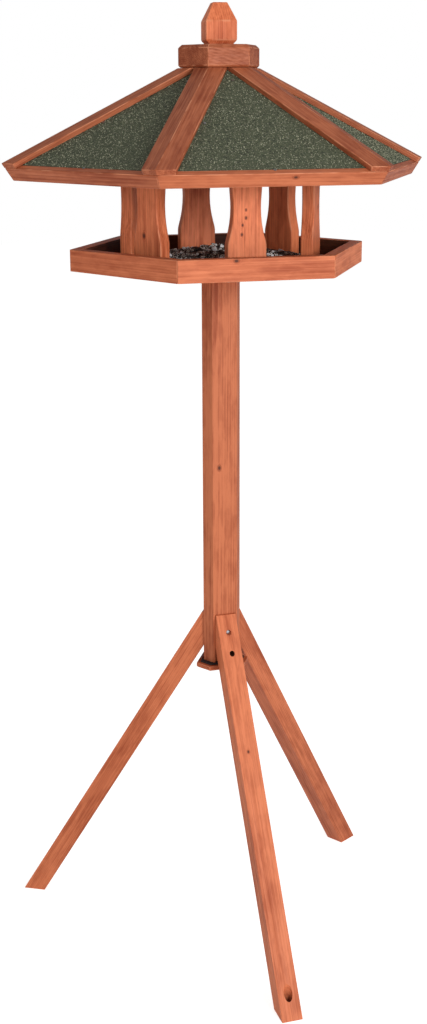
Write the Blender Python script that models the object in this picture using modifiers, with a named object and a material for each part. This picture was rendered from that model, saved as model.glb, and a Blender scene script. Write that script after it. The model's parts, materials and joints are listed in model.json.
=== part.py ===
# Hexagonal bird feeder on a three-legged pole. Metres, +Z up, front towards -Y.
# The origin lies on the ground, in the middle of the object's bounding box.

import math

import bmesh
import bpy
from mathutils import Matrix, Vector

# ---- fits ----
FIT_GAP = 0.0003  # between two pieces that touch
THREAD_GAP = 0.0003  # round a screw, on the radius
SINK_GAP = 0.0005  # round a screw head, on the radius

# ---- stand ----
LEG_WIDTH = 0.0325
LEG_DEPTH = 0.0315
LEG_TOP_HEIGHT = 0.5325
LEG_TOP_STEP = 0.0035  # how far a leg's top stands out of the pole's face
FOOT_REACH = 0.348  # pole's axis to the outer edge of a sole
HOUSING_DEPTH = 0.004  # a leg's head is let into the pole by this
LEG_OVERLAP = 0.080  # leg's top down to the pole's foot
POLE_WIDE_FLAT = 0.0236  # axis to the faces that carry the legs
POLE_NARROW_FLAT = 0.0289  # axis to the three faces between them
POLE_LENGTH = 0.611
STAND_TURN = math.radians(2.3)  # the stand is screwed on a little out of line with the tray
PEG_HOLE_DIAMETER = 0.0135  # takes a ground peg, straight down through the foot
PEG_HOLE_INSET = 0.021  # its middle, from the outer edge of the sole

# ---- plates at the pole's two ends ----
HUB_PLATE_THICKNESS = 0.008
HUB_PLATE_CHAMFER = 0.002
HUB_PLATE_CLEARANCE = 0.005  # to the legs' inner faces
HUB_PLATE_NARROW = 1.25  # its narrow faces lie this much further out than its wide ones
HUB_PAD_INSET = 0.006  # the wood plate stands out past the pad by this
HUB_PAD_THICKNESS = 0.002
HEAD_PLATE_RADIUS = 0.062
HEAD_PLATE_THICKNESS = 0.016
HEAD_PLATE_SCREW_RING = 0.043

# ---- tray ----
TRAY_RADIUS = 0.228  # axis to an outer corner
RIM_HEIGHT = 0.032
RIM_THICKNESS = 0.018
FLOOR_THICKNESS = 0.008

# ---- posts ----
POST_OUTER_FLAT = 0.148  # axis to a post's outer face
POST_THICKNESS = 0.0185
POST_BASE_WIDTH = 0.057
POST_NECK_WIDTH = 0.0405
POST_TOP_WIDTH = 0.045
POST_BASE_RISE = 0.036  # straight part of the base, above the floor
POST_NECK_RISE = 0.088
POST_TOP_RISE = 0.130
POST_BASE_SWEEP = 0.006  # upright reach of the curve as it leaves the base
POST_NECK_SWEEP = 0.028  # and as it comes into the neck
POST_TOP_SWEEP = 0.014
FEEDING_GAP = 0.0995  # tray rim up to the eave boards

# ---- roof ----
ROOF_PITCH = math.radians(30.0)
EAVE_RADIUS = 0.318  # axis to an outer top corner of the eave boards
EAVE_BOARD_HEIGHT = 0.0204
EAVE_BOARD_THICKNESS = 0.010
FELT_THICKNESS = 0.002
PANEL_THICKNESS = 0.006
BATTEN_WING = 0.0224  # hip line to a batten's edge, along the roof
BATTEN_THICKNESS = 0.008
CAP_RADIUS = 0.0615
CAP_HEIGHT = 0.032
CAP_TOP_CHAMFER = 0.0048
CAP_BOTTOM_CHAMFER = 0.0028
APEX_BLOCK_HEIGHT = 0.024
FINIAL_WIDTH = 0.0455
FINIAL_TOP_WIDTH = 0.0212
FINIAL_FOOT_INSET = 0.0050
FINIAL_FOOT_HEIGHT = 0.0060
FINIAL_BODY_HEIGHT = 0.0265
FINIAL_PEAK_HEIGHT = 0.0257
FINIAL_TURN = math.radians(-5.5)  # it turns on its bolt, so it stands a little out of line

# ---- screws and bolt ----
SCREW_RADIUS = 0.002
SCREW_HEAD_RADIUS = 0.0036
SCREW_HEAD_HEIGHT = 0.0026
LEG_SCREW_LENGTH = 0.030
PLATE_SCREW_LENGTH = 0.040
TRAY_SCREW_LENGTH = 0.022
SCREW_SIDES = 16
SCREW_DROPS = {"upper": 0.025, "lower": 0.054}  # under the top of a leg
SCREW_HEAD_REACH = 0.038  # axis to the heads of the leg screws, sunk in their recesses
COUNTERBORE_RADIUS = 0.0041
BOLT_RADIUS = 0.003
BOLT_IN_APEX = 0.016
BOLT_IN_FINIAL = 0.020

# ---- derived heights ----
LEG_ANGLES = {"front": 0.0, "right": 120.0, "left": 240.0}
SIDE_NAMES = ("front", "front_right", "back_right", "back", "back_left", "front_left")
HIP_NAMES = ("front_right", "right", "back_right", "back_left", "left", "front_left")
HALF_SIDE = math.radians(30.0)
FULL_SIDE = math.radians(60.0)

POLE_FOOT_HEIGHT = LEG_TOP_HEIGHT - LEG_OVERLAP
LEG_SPLAY = math.atan((FOOT_REACH - POLE_WIDE_FLAT - LEG_TOP_STEP) / LEG_TOP_HEIGHT)  # away from upright
SOLE_LENGTH = LEG_DEPTH / math.cos(LEG_SPLAY)
HUB_FLAT = FOOT_REACH - SOLE_LENGTH - POLE_FOOT_HEIGHT * math.tan(LEG_SPLAY) - HUB_PLATE_CLEARANCE

HEAD_PLATE_FOOT = POLE_FOOT_HEIGHT + POLE_LENGTH + FIT_GAP
FLOOR_FOOT = HEAD_PLATE_FOOT + HEAD_PLATE_THICKNESS + FIT_GAP
POST_FOOT = FLOOR_FOOT + FLOOR_THICKNESS + FIT_GAP
EAVE_HEIGHT = FLOOR_FOOT + RIM_HEIGHT + FEEDING_GAP + EAVE_BOARD_HEIGHT * math.cos(ROOF_PITCH)
EAVE_FLAT = EAVE_RADIUS * math.cos(HALF_SIDE)
TRAY_FLAT = TRAY_RADIUS * math.cos(HALF_SIDE)

# depths under the roof's outer plane, and the battens above it
PANEL_TOP = FELT_THICKNESS + FIT_GAP
PANEL_UNDERSIDE = PANEL_TOP + PANEL_THICKNESS
BATTEN_TOP = FIT_GAP + BATTEN_THICKNESS


def roof_height(flat, above=0.0):
    """Height over the eave of a plane parallel to the roof, at a distance from the axis along a side's middle."""
    return (EAVE_FLAT - flat) * math.tan(ROOF_PITCH) + above / math.cos(ROOF_PITCH)


CAP_SEAT = roof_height(CAP_RADIUS * math.cos(HALF_SIDE), BATTEN_TOP)  # over the eave
CAP_FOOT = EAVE_HEIGHT + CAP_SEAT
FINIAL_FOOT = CAP_FOOT + CAP_HEIGHT + FIT_GAP
APEX_TOP = CAP_FOOT - FIT_GAP

FRONT_REACH = FOOT_REACH * math.cos(STAND_TURN) + LEG_WIDTH / 2 * math.sin(STAND_TURN)
BACK_REACH = EAVE_FLAT + BATTEN_TOP * math.sin(ROOF_PITCH)
AXIS_Y = (FRONT_REACH - BACK_REACH) / 2  # centres the bounding box on the origin


# ---- scene and materials ----
def clear_scene():
    for obj in list(bpy.data.objects):
        bpy.data.objects.remove(obj, do_unlink=True)


def collection(name):
    made = bpy.data.collections.new(name)
    bpy.context.scene.collection.children.link(made)
    return made


def material(name, colour, roughness, metallic=0.0):
    made = bpy.data.materials.new(name)
    made.use_nodes = True
    made.diffuse_color = (*colour, 1.0)
    shader = made.node_tree.nodes["Principled BSDF"]
    shader.inputs["Base Color"].default_value = (*colour, 1.0)
    shader.inputs["Roughness"].default_value = roughness
    shader.inputs["Metallic"].default_value = metallic
    return made


def frame_empty(name, height=0.0, turn=0.0, parent=None):
    """An empty that carries one group of pieces, at a height on the feeder's axis."""
    empty = bpy.data.objects.new(name, None)
    empty.location.z = height
    empty.rotation_euler.z = turn
    empty.parent = parent
    PARTS.objects.link(empty)
    return empty


def place(name, mesh, finish, parent, turn=0.0, location=(0.0, 0.0, 0.0)):
    if not mesh.materials:
        mesh.materials.append(finish)
    obj = bpy.data.objects.new(name, mesh)
    obj.parent = parent
    obj.location = location
    obj.rotation_euler.z = turn
    PARTS.objects.link(obj)
    return obj


# ---- shapes ----
def trim(bm, point, normal, fill=True):
    """Takes away what lies beyond a plane, on the side that its normal points to."""
    everything = bm.verts[:] + bm.edges[:] + bm.faces[:]
    bmesh.ops.bisect_plane(bm, geom=everything, plane_co=point, plane_no=normal, dist=1e-7, clear_outer=True)
    if fill:
        bmesh.ops.holes_fill(bm, edges=bm.edges[:], sides=0)


def block(low, high):
    """A box between two corners."""
    bm = bmesh.new()
    bmesh.ops.create_cube(bm, size=1.0)
    low, high = Vector(low), Vector(high)
    bmesh.ops.scale(bm, vec=high - low, verts=bm.verts)
    bmesh.ops.translate(bm, vec=(low + high) / 2, verts=bm.verts)
    return bm


def tilt(bm, angle, then_move):
    bmesh.ops.rotate(bm, cent=(0, 0, 0), matrix=Matrix.Rotation(angle, 3, "X"), verts=bm.verts)
    bmesh.ops.translate(bm, vec=then_move, verts=bm.verts)


def mesh_of(bm, name):
    bmesh.ops.recalc_face_normals(bm, faces=bm.faces)
    mesh = bpy.data.meshes.new(name)
    bm.to_mesh(mesh)
    bm.free()
    return mesh


def prism(name, sides, flat, bottom, top, top_flat=None):
    """An upright prism or frustum with one flat face towards the front."""
    bm = bmesh.new()
    to_corner = 1.0 / math.cos(math.pi / sides)
    top_flat = flat if top_flat is None else top_flat
    bmesh.ops.create_cone(
        bm,
        cap_ends=True,
        segments=sides,
        radius1=flat * to_corner,
        radius2=top_flat * to_corner,
        depth=top - bottom,
    )
    turn = 0.0 if sides % 2 else math.pi / sides
    bmesh.ops.rotate(bm, cent=(0, 0, 0), matrix=Matrix.Rotation(turn, 3, "Z"), verts=bm.verts)
    bmesh.ops.translate(bm, vec=(0, 0, (top + bottom) / 2), verts=bm.verts)
    return bm if name is None else mesh_of(bm, name)


def turned(name, profile, steps, smooth=True):
    """A solid of revolution from (radius, height) points that run from the top of the axis to its bottom."""
    mesh = bpy.data.meshes.new(name + "_profile")
    points = [(radius, 0.0, height) for radius, height in profile]
    edges = [(i, i + 1) for i in range(len(points) - 1)]
    mesh.from_pydata(points, edges, [])
    obj = bpy.data.objects.new(name + "_profile", mesh)
    HELPERS.objects.link(obj)
    screw = obj.modifiers.new("turn", "SCREW")
    screw.steps = screw.render_steps = steps
    screw.use_merge_vertices = True
    screw.merge_threshold = 1e-5
    solid = evaluated_mesh(obj, name)
    bpy.data.objects.remove(obj, do_unlink=True)
    if smooth:
        solid.shade_smooth()
        solid.set_sharp_from_angle(angle=math.radians(35))
    return solid


def evaluated_mesh(obj, name):
    bpy.context.view_layer.update()
    graph = bpy.context.evaluated_depsgraph_get()
    mesh = bpy.data.meshes.new_from_object(obj.evaluated_get(graph))
    mesh.name = name
    return mesh


def helper(name, mesh, location=(0.0, 0.0, 0.0), rotation=(0.0, 0.0, 0.0)):
    obj = bpy.data.objects.new(name, mesh)
    obj.location = location
    obj.rotation_euler = rotation
    obj.hide_render = True
    obj.display_type = "WIRE"
    HELPERS.objects.link(obj)
    return obj


def carved(mesh, cutters):
    """The mesh with each cutter taken out of it."""
    body = helper(mesh.name + "_blank", mesh)
    for cutter in cutters:
        cut = body.modifiers.new(cutter.name, "BOOLEAN")
        cut.operation = "DIFFERENCE"
        cut.solver = "EXACT"
        cut.object = cutter
    result = evaluated_mesh(body, mesh.name)
    bpy.data.objects.remove(body, do_unlink=True)
    return result


def stepped_bore(name, depth, head_depth=0.0):
    """A cutter along -Z from the origin: a head's recess of the given depth, then the clearance for the thread."""
    thread = SCREW_RADIUS + THREAD_GAP
    recess = COUNTERBORE_RADIUS
    start = 0.03  # clear of the surface that it enters
    profile = [(0.0, start), (recess, start), (recess, -head_depth), (thread, -head_depth)]
    profile += [(thread, -depth), (0.0, -depth)]
    return turned(name, profile, SCREW_SIDES)


# ---- stand ----
def leg_bores():
    """Cutters for the front leg: its two screws, straight in towards the pole, and the upright peg hole."""
    inwards = (math.radians(90.0), 0.0, 0.0)  # turns a cutter's -Z to +Y
    cutters = []
    for label, drop in SCREW_DROPS.items():
        height = LEG_TOP_HEIGHT - drop
        shape = stepped_bore(f"{label}_leg_bore", SCREW_HEAD_REACH, SCREW_HEAD_HEIGHT)
        cutters.append(helper(f"{label}_leg_cutter", shape, (0.0, -SCREW_HEAD_REACH, height), inwards))
    radius = PEG_HOLE_DIAMETER / 2
    top = LEG_DEPTH * 4
    peg = turned("peg_bore", [(0.0, top), (radius, top), (radius, -top), (0.0, -top)], 24)
    cutters.append(helper("peg_cutter", peg, (0.0, -(FOOT_REACH - PEG_HOLE_INSET), 0.0)))
    return cutters


def leg_mesh():
    """The front leg, in the stand's frame: a square bar, cut level at both ends and upright where it meets the pole."""
    length = LEG_TOP_HEIGHT / math.cos(LEG_SPLAY)
    bm = block((-LEG_WIDTH / 2, 0.0, -LEG_DEPTH), (LEG_WIDTH / 2, LEG_DEPTH, length + LEG_DEPTH))
    tilt(bm, -LEG_SPLAY, (0.0, -FOOT_REACH, 0.0))
    trim(bm, (0, 0, 0), (0, 0, -1))
    trim(bm, (0, 0, LEG_TOP_HEIGHT), (0, 0, 1))
    trim(bm, (0, HOUSING_DEPTH - POLE_WIDE_FLAT - FIT_GAP, 0), (0, 1, 0))
    return carved(mesh_of(bm, "leg"), leg_bores())


def three_sided(name, wide, narrow, height, chamfer=0.0):
    """A prism up from height 0: three wide faces towards the legs, and a narrow one where two of them would meet."""
    bm = prism(None, 3, wide, 0.0, height)
    for k in range(6):
        angle = FULL_SIDE * k - math.radians(90.0)
        normal = Vector((math.cos(angle), math.sin(angle), 0.0))
        flat = narrow if k % 2 else wide
        if k % 2:
            trim(bm, normal * flat, normal)
        if chamfer:
            trim(bm, normal * (flat - chamfer), normal - Vector((0, 0, 1)))
    return mesh_of(bm, name)


def bore(name, bottom, top, radius=SCREW_RADIUS + THREAD_GAP):
    """An upright cutter for a plain hole between two heights."""
    return turned(name, [(0.0, top), (radius, top), (radius, bottom), (0.0, bottom)], SCREW_SIDES)


def pole_cutters(label, angle):
    """Cutters for one leg's place on the pole: the housing for its head and the two screw holes behind it."""
    turn = math.radians(angle)
    half = LEG_WIDTH / 2 + FIT_GAP
    wide = POLE_WIDE_FLAT
    slot = block((-half, -wide * 2, -LEG_OVERLAP), (half, HOUSING_DEPTH - wide, LEG_OVERLAP + FIT_GAP))
    cutters = [helper(f"{label}_housing_cutter", mesh_of(slot, f"{label}_housing"), rotation=(0, 0, turn))]
    shape = bore(f"{label}_pole_bore", -LEG_SCREW_LENGTH - THREAD_GAP, 0.0)
    for level, drop in SCREW_DROPS.items():
        reach = SCREW_HEAD_REACH
        spot = (reach * math.sin(turn), -reach * math.cos(turn), LEG_OVERLAP - drop)
        cutters.append(helper(f"{label}_{level}_pole_cutter", shape, spot, (math.radians(90.0), 0.0, turn)))
    return cutters


def pole_mesh():
    """The pole: housed and bored for its legs, bored at both ends."""
    cutters = []
    for label, angle in LEG_ANGLES.items():
        cutters += pole_cutters(label, angle)
    reach = PLATE_SCREW_LENGTH + THREAD_GAP
    cutters.append(helper("pole_top_cutter", bore("pole_top_bore", POLE_LENGTH - reach, POLE_LENGTH * 2)))
    cutters.append(helper("pole_foot_cutter", bore("pole_foot_bore", -POLE_LENGTH, reach)))
    return carved(three_sided("pole", POLE_WIDE_FLAT, POLE_NARROW_FLAT, POLE_LENGTH), cutters)


def screw_mesh(name, length):
    """A pan-head screw along -Z, with the top of its head at the origin."""
    tip = SCREW_RADIUS * 2
    profile = [
        (0.0, 0.0),
        (SCREW_HEAD_RADIUS * 0.7, 0.0),
        (SCREW_HEAD_RADIUS, -SCREW_HEAD_HEIGHT * 0.45),
        (SCREW_HEAD_RADIUS, -SCREW_HEAD_HEIGHT + FIT_GAP),
        (SCREW_RADIUS, -SCREW_HEAD_HEIGHT + FIT_GAP),
        (SCREW_RADIUS, -length + tip),
        (0.0, -length),
    ]
    return turned(name, profile, SCREW_SIDES)


def build_stand(feeder):
    stand = frame_empty("stand_frame", turn=STAND_TURN, parent=feeder)
    place("pole", pole_mesh(), WOOD, stand, location=(0.0, 0.0, POLE_FOOT_HEIGHT))
    leg = leg_mesh()
    screw = screw_mesh("leg_screw", LEG_SCREW_LENGTH)
    for label, angle in LEG_ANGLES.items():
        turn = math.radians(angle)
        place(f"leg_{label}", leg, WOOD, stand, turn=turn)
        for level, drop in SCREW_DROPS.items():
            reach = SCREW_HEAD_REACH
            spot = (reach * math.sin(turn), -reach * math.cos(turn), LEG_TOP_HEIGHT - drop)
            obj = place(f"leg_screw_{level}_{label}", screw, STEEL, stand, location=spot)
            obj.rotation_euler = (math.radians(90.0), 0.0, turn)
    build_hub(stand)
    build_head(stand)


def build_hub(stand):
    """The plate that closes the pole's foot, with its black pad and the screw that holds both."""
    pad_foot = POLE_FOOT_HEIGHT - FIT_GAP - HUB_PAD_THICKNESS
    plate_foot = pad_foot - FIT_GAP - HUB_PLATE_THICKNESS
    cutter = helper("hub_cutter", bore("hub_bore", -POLE_LENGTH, POLE_LENGTH))
    inset = HUB_PAD_INSET
    pad = three_sided("hub_pad", HUB_FLAT - inset, HUB_FLAT * HUB_PLATE_NARROW - inset, HUB_PAD_THICKNESS)
    place("hub_pad", carved(pad, [cutter]), PAD, stand, location=(0, 0, pad_foot))
    narrow = HUB_FLAT * HUB_PLATE_NARROW
    plate = three_sided("hub_plate", HUB_FLAT, narrow, HUB_PLATE_THICKNESS, HUB_PLATE_CHAMFER)
    place("hub_plate", carved(plate, [cutter]), WOOD, stand, location=(0, 0, plate_foot))
    screw = screw_mesh("hub_screw", PLATE_SCREW_LENGTH)
    spot = (0, 0, plate_foot - SCREW_HEAD_HEIGHT)
    place("hub_screw", screw, STEEL, stand, location=spot).rotation_euler.x = math.pi


def build_head(stand):
    """The block on the pole's head that the tray floor is screwed to from below."""
    recess = SCREW_HEAD_HEIGHT + SINK_GAP
    middle = stepped_bore("head_bore", HEAD_PLATE_THICKNESS * 2, recess)
    cutters = [helper("head_cutter", middle, (0, 0, HEAD_PLATE_THICKNESS))]
    ring = bore("ring_bore", -POLE_LENGTH, POLE_LENGTH)
    spots = ring_spots()
    cutters += [helper(f"ring_cutter_{label}", ring, (x, y, 0)) for label, (x, y) in spots.items()]
    plate = prism("head_plate", 6, HEAD_PLATE_RADIUS * math.cos(HALF_SIDE), 0.0, HEAD_PLATE_THICKNESS)
    place("head_plate", carved(plate, cutters), WOOD, stand, location=(0, 0, HEAD_PLATE_FOOT))
    top = HEAD_PLATE_FOOT + HEAD_PLATE_THICKNESS - SINK_GAP
    place("pole_head_screw", screw_mesh("pole_head_screw", PLATE_SCREW_LENGTH), STEEL, stand, location=(0, 0, top))
    screw = screw_mesh("tray_screw", TRAY_SCREW_LENGTH)
    for label, (x, y) in spots.items():
        obj = place(f"tray_screw_{label}", screw, STEEL, stand)
        obj.location = (x, y, HEAD_PLATE_FOOT - SCREW_HEAD_HEIGHT)
        obj.rotation_euler.x = math.pi


def ring_spots():
    """Where the three tray screws stand on the head plate, in the stand's frame."""
    spots = {}
    for label, angle in LEG_ANGLES.items():
        turn = math.radians(angle)
        spots[label] = (HEAD_PLATE_SCREW_RING * math.sin(turn), -HEAD_PLATE_SCREW_RING * math.cos(turn))
    return spots


# ---- tray ----
def hip_planes(height=0.0):
    """The two upright planes that part the front side from its neighbours, half a gap inside it."""
    planes = []
    for sign in (1, -1):
        normal = Vector((sign * math.cos(HALF_SIDE), math.sin(HALF_SIDE), 0.0))
        planes.append((Vector((0, 0, height)) - normal * FIT_GAP / 2, normal))
    return planes


def rim_mesh():
    half = TRAY_RADIUS
    bm = block((-half, -TRAY_FLAT, 0.0), (half, -TRAY_FLAT + RIM_THICKNESS, RIM_HEIGHT))
    for point, normal in hip_planes():
        trim(bm, point, normal)
    return mesh_of(bm, "tray_rim")


def build_tray(feeder):
    tray = frame_empty("tray_frame", height=FLOOR_FOOT, parent=feeder)
    inner = TRAY_FLAT - RIM_THICKNESS - FIT_GAP
    tip = TRAY_SCREW_LENGTH - HEAD_PLATE_THICKNESS - SCREW_HEAD_HEIGHT
    shape = bore("floor_bore", -FLOOR_THICKNESS, tip + THREAD_GAP)
    cutters = []
    for label, (x, y) in ring_spots().items():
        turned_spot = Matrix.Rotation(STAND_TURN, 2) @ Vector((x, y))
        cutters.append(helper(f"floor_cutter_{label}", shape, (*turned_spot, 0.0)))
    floor = prism("tray_floor", 6, inner, 0.0, FLOOR_THICKNESS)
    place("tray_floor", carved(floor, cutters), FLOOR_BOARD, tray)
    rim = rim_mesh()
    for k, label in enumerate(SIDE_NAMES):
        place(f"tray_rim_{label}", rim, WOOD, tray, turn=FULL_SIDE * k)


# ---- posts ----
def post_outline():
    """Half the post's outline, from the foot up, as (half width, height, reach of the curve below, and above)."""
    top = EAVE_HEIGHT + roof_height(0.0) - POST_FOOT
    return [
        (POST_BASE_WIDTH / 2, 0.0, 0.0, 0.0),
        (POST_BASE_WIDTH / 2, POST_BASE_RISE, 0.0, POST_BASE_SWEEP),
        (POST_NECK_WIDTH / 2, POST_NECK_RISE, POST_NECK_SWEEP, POST_TOP_SWEEP),
        (POST_TOP_WIDTH / 2, POST_TOP_RISE, POST_TOP_SWEEP, 0.0),
        (POST_TOP_WIDTH / 2, top, 0.0, 0.0),
    ]


def post_mesh():
    """A flat board with a bottle-shaped outline, its top cut to the slope of the roof panel."""
    half = post_outline()
    outline = half + [(-x, z, above, below) for x, z, below, above in reversed(half)]
    curve = bpy.data.curves.new("post_outline", "CURVE")
    curve.dimensions = "2D"
    curve.fill_mode = "BOTH"
    curve.extrude = POST_THICKNESS / 2
    curve.resolution_u = 7
    spline = curve.splines.new("BEZIER")
    spline.bezier_points.add(len(outline) - 1)
    spline.use_cyclic_u = True
    for point, (x, z, before, after) in zip(spline.bezier_points, outline):
        upwards = 1 if x > 0 else -1  # the outline climbs on one side and comes down on the other
        point.handle_left_type = "FREE" if before else "VECTOR"
        point.handle_right_type = "FREE" if after else "VECTOR"
        point.co = (x, z, 0.0)
        if before:
            point.handle_left = (x, z - upwards * before, 0.0)
        if after:
            point.handle_right = (x, z + upwards * after, 0.0)
    obj = bpy.data.objects.new("post_outline", curve)
    HELPERS.objects.link(obj)
    mesh = evaluated_mesh(obj, "post")
    bpy.data.objects.remove(obj, do_unlink=True)
    bm = bmesh.new()
    bm.from_mesh(mesh)
    bpy.data.meshes.remove(mesh)
    bmesh.ops.remove_doubles(bm, verts=bm.verts, dist=1e-6)
    middle = POST_OUTER_FLAT - POST_THICKNESS / 2
    tilt(bm, math.radians(90.0), (0.0, -middle, 0.0))
    normal = Vector((0.0, -math.sin(ROOF_PITCH), math.cos(ROOF_PITCH)))
    eave = Vector((0.0, -EAVE_FLAT, EAVE_HEIGHT - POST_FOOT))
    trim(bm, eave - normal * (PANEL_UNDERSIDE + FIT_GAP), normal)
    made = mesh_of(bm, "post")
    made.shade_smooth()
    made.set_sharp_from_angle(angle=math.radians(30))
    return made


def build_posts(feeder):
    posts = frame_empty("post_frame", height=POST_FOOT, parent=feeder)
    post = post_mesh()
    for k, label in enumerate(SIDE_NAMES):
        place(f"post_{label}", post, WOOD, posts, turn=FULL_SIDE * k)


# ---- roof, with the eave's outer top edge at height 0 ----
def roof_slab(low, high):
    """A box laid on the front roof plane: X along the eave, Y up the slope from it, Z out of the plane."""
    bm = block(low, high)
    tilt(bm, ROOF_PITCH, (0.0, -EAVE_FLAT, 0.0))
    return bm


def sector_mesh(name, low, high):
    """A roof slab cut to its sixth of the roof and level under the cap."""
    bm = roof_slab(low, high)
    for point, normal in hip_planes():
        trim(bm, point, normal)
    trim(bm, (0, 0, CAP_SEAT - FIT_GAP), (0, 0, 1))
    return mesh_of(bm, name)


def batten_mesh():
    """Half of a hip batten, one wing on one roof plane; a mirror across the hip makes the other."""
    slope_length = EAVE_FLAT / math.cos(ROOF_PITCH)
    corner = Vector((-EAVE_FLAT * math.tan(HALF_SIDE), 0.0, 0.0))
    across = Vector((1.0 / math.cos(ROOF_PITCH), -math.tan(HALF_SIDE), 0.0)).normalized()
    bm = block((-EAVE_RADIUS, 0.0, FIT_GAP), (EAVE_RADIUS, slope_length, BATTEN_TOP))
    trim(bm, corner + across * BATTEN_WING, across)
    tilt(bm, ROOF_PITCH, (0.0, -EAVE_FLAT, 0.0))
    trim(bm, (-FIT_GAP / 2, 0, 0), (1, 0, 0))
    trim(bm, (0, 0, CAP_SEAT - FIT_GAP), (0, 0, 1))
    bmesh.ops.rotate(bm, cent=(0, 0, 0), matrix=Matrix.Rotation(HALF_SIDE, 3, "Z"), verts=bm.verts)
    trim(bm, (0, 0, 0), (-1, 0, 0), fill=False)
    for vert in bm.verts:
        if abs(vert.co.x) < 1e-6:
            vert.co.x = 0.0
    return mesh_of(bm, "hip_batten")


def add_mirror(obj):
    mirror = obj.modifiers.new("other wing", "MIRROR")
    mirror.use_axis = (True, False, False)
    mirror.merge_threshold = 1e-5


def build_roof(feeder):
    roof = frame_empty("roof_frame", height=EAVE_HEIGHT, parent=feeder)
    wide, far = EAVE_RADIUS, EAVE_RADIUS * 1.2
    inner = EAVE_BOARD_THICKNESS + FIT_GAP
    board = sector_mesh("eave_board", (-wide, 0.0, -EAVE_BOARD_HEIGHT), (wide, EAVE_BOARD_THICKNESS, 0.0))
    felt = sector_mesh("roof_felt", (-wide, inner, -FELT_THICKNESS), (wide, far, 0.0))
    panel = sector_mesh("roof_panel", (-wide, inner, -PANEL_UNDERSIDE), (wide, far, -PANEL_TOP))
    for k, label in enumerate(SIDE_NAMES):
        turn = FULL_SIDE * k
        place(f"eave_board_{label}", board, WOOD, roof, turn=turn)
        place(f"roof_felt_{label}", felt, FELT, roof, turn=turn)
        place(f"roof_panel_{label}", panel, PLYWOOD, roof, turn=turn)
    batten = batten_mesh()
    for k, label in enumerate(HIP_NAMES):
        obj = place(f"hip_batten_{label}", batten, WOOD, roof, turn=HALF_SIDE + FULL_SIDE * k)
        add_mirror(obj)
    build_peak(feeder)


def build_peak(feeder):
    """The block inside the apex, the cap, the finial and the bolt through all three."""
    peak = frame_empty("peak_frame", height=CAP_FOOT, parent=feeder)
    low, high = -FIT_GAP - BOLT_IN_APEX, FIT_GAP + CAP_HEIGHT + BOLT_IN_FINIAL
    shape = bore("bolt_bore", low - THREAD_GAP, high + THREAD_GAP, BOLT_RADIUS + THREAD_GAP)
    cutter = helper("bolt_cutter", shape)

    under = -(PANEL_UNDERSIDE + FIT_GAP)
    top_flat = EAVE_FLAT - (CAP_SEAT - FIT_GAP - under / math.cos(ROOF_PITCH)) / math.tan(ROOF_PITCH)
    foot_flat = top_flat + APEX_BLOCK_HEIGHT / math.tan(ROOF_PITCH)
    block_mesh = prism("apex_block", 6, foot_flat, -FIT_GAP - APEX_BLOCK_HEIGHT, -FIT_GAP, top_flat)
    place("apex_block", carved(block_mesh, [cutter]), WOOD, peak)

    to_corner = 1.0 / math.cos(HALF_SIDE)
    cap = [
        (0, CAP_HEIGHT),
        (CAP_RADIUS - CAP_TOP_CHAMFER * to_corner, CAP_HEIGHT),
        (CAP_RADIUS, CAP_HEIGHT - CAP_TOP_CHAMFER),
        (CAP_RADIUS, CAP_BOTTOM_CHAMFER),
        (CAP_RADIUS - CAP_BOTTOM_CHAMFER * to_corner, 0),
        (0, 0),
    ]
    place("roof_cap", carved(turned("roof_cap", cap, 6, smooth=False), [cutter]), WOOD, peak)

    corner = math.sqrt(2.0) / 2
    foot = CAP_HEIGHT + FIT_GAP
    body = foot + FINIAL_FOOT_HEIGHT
    shoulder = body + FINIAL_BODY_HEIGHT
    finial = [
        (0, shoulder + FINIAL_PEAK_HEIGHT),
        (FINIAL_TOP_WIDTH * corner, shoulder + FINIAL_PEAK_HEIGHT),
        (FINIAL_WIDTH * corner, shoulder),
        (FINIAL_WIDTH * corner, body),
        ((FINIAL_WIDTH - 2 * FINIAL_FOOT_INSET) * corner, foot),
        (0, foot),
    ]
    square = carved(turned("finial", finial, 4, smooth=False), [cutter])
    place("finial", square, WOOD, peak, turn=math.radians(45.0) + FINIAL_TURN)
    bolt = [(0, high), (BOLT_RADIUS, high), (BOLT_RADIUS, low), (0, low)]
    place("finial_bolt", turned("finial_bolt", bolt, SCREW_SIDES), STEEL, peak)


clear_scene()
PARTS = collection("bird_feeder_on_pole")
HELPERS = collection("cutters")
WOOD = material("stained_pine", (0.47, 0.17, 0.075), 0.55)
FLOOR_BOARD = material("black_stained_board", (0.012, 0.011, 0.010), 0.8)
PLYWOOD = material("roof_plywood", (0.40, 0.20, 0.10), 0.7)
FELT = material("green_mineral_felt", (0.10, 0.14, 0.10), 0.95)
PAD = material("black_rubber", (0.015, 0.015, 0.015), 0.8)
STEEL = material("zinc_plated_steel", (0.62, 0.63, 0.65), 0.35, 1.0)

FEEDER = frame_empty("feeder_frame")
FEEDER.location.y = AXIS_Y
build_stand(FEEDER)
build_tray(FEEDER)
build_posts(FEEDER)
build_roof(FEEDER)
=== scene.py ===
import json
import math
import random

import bmesh
import bpy
from mathutils import Matrix, Vector

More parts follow.
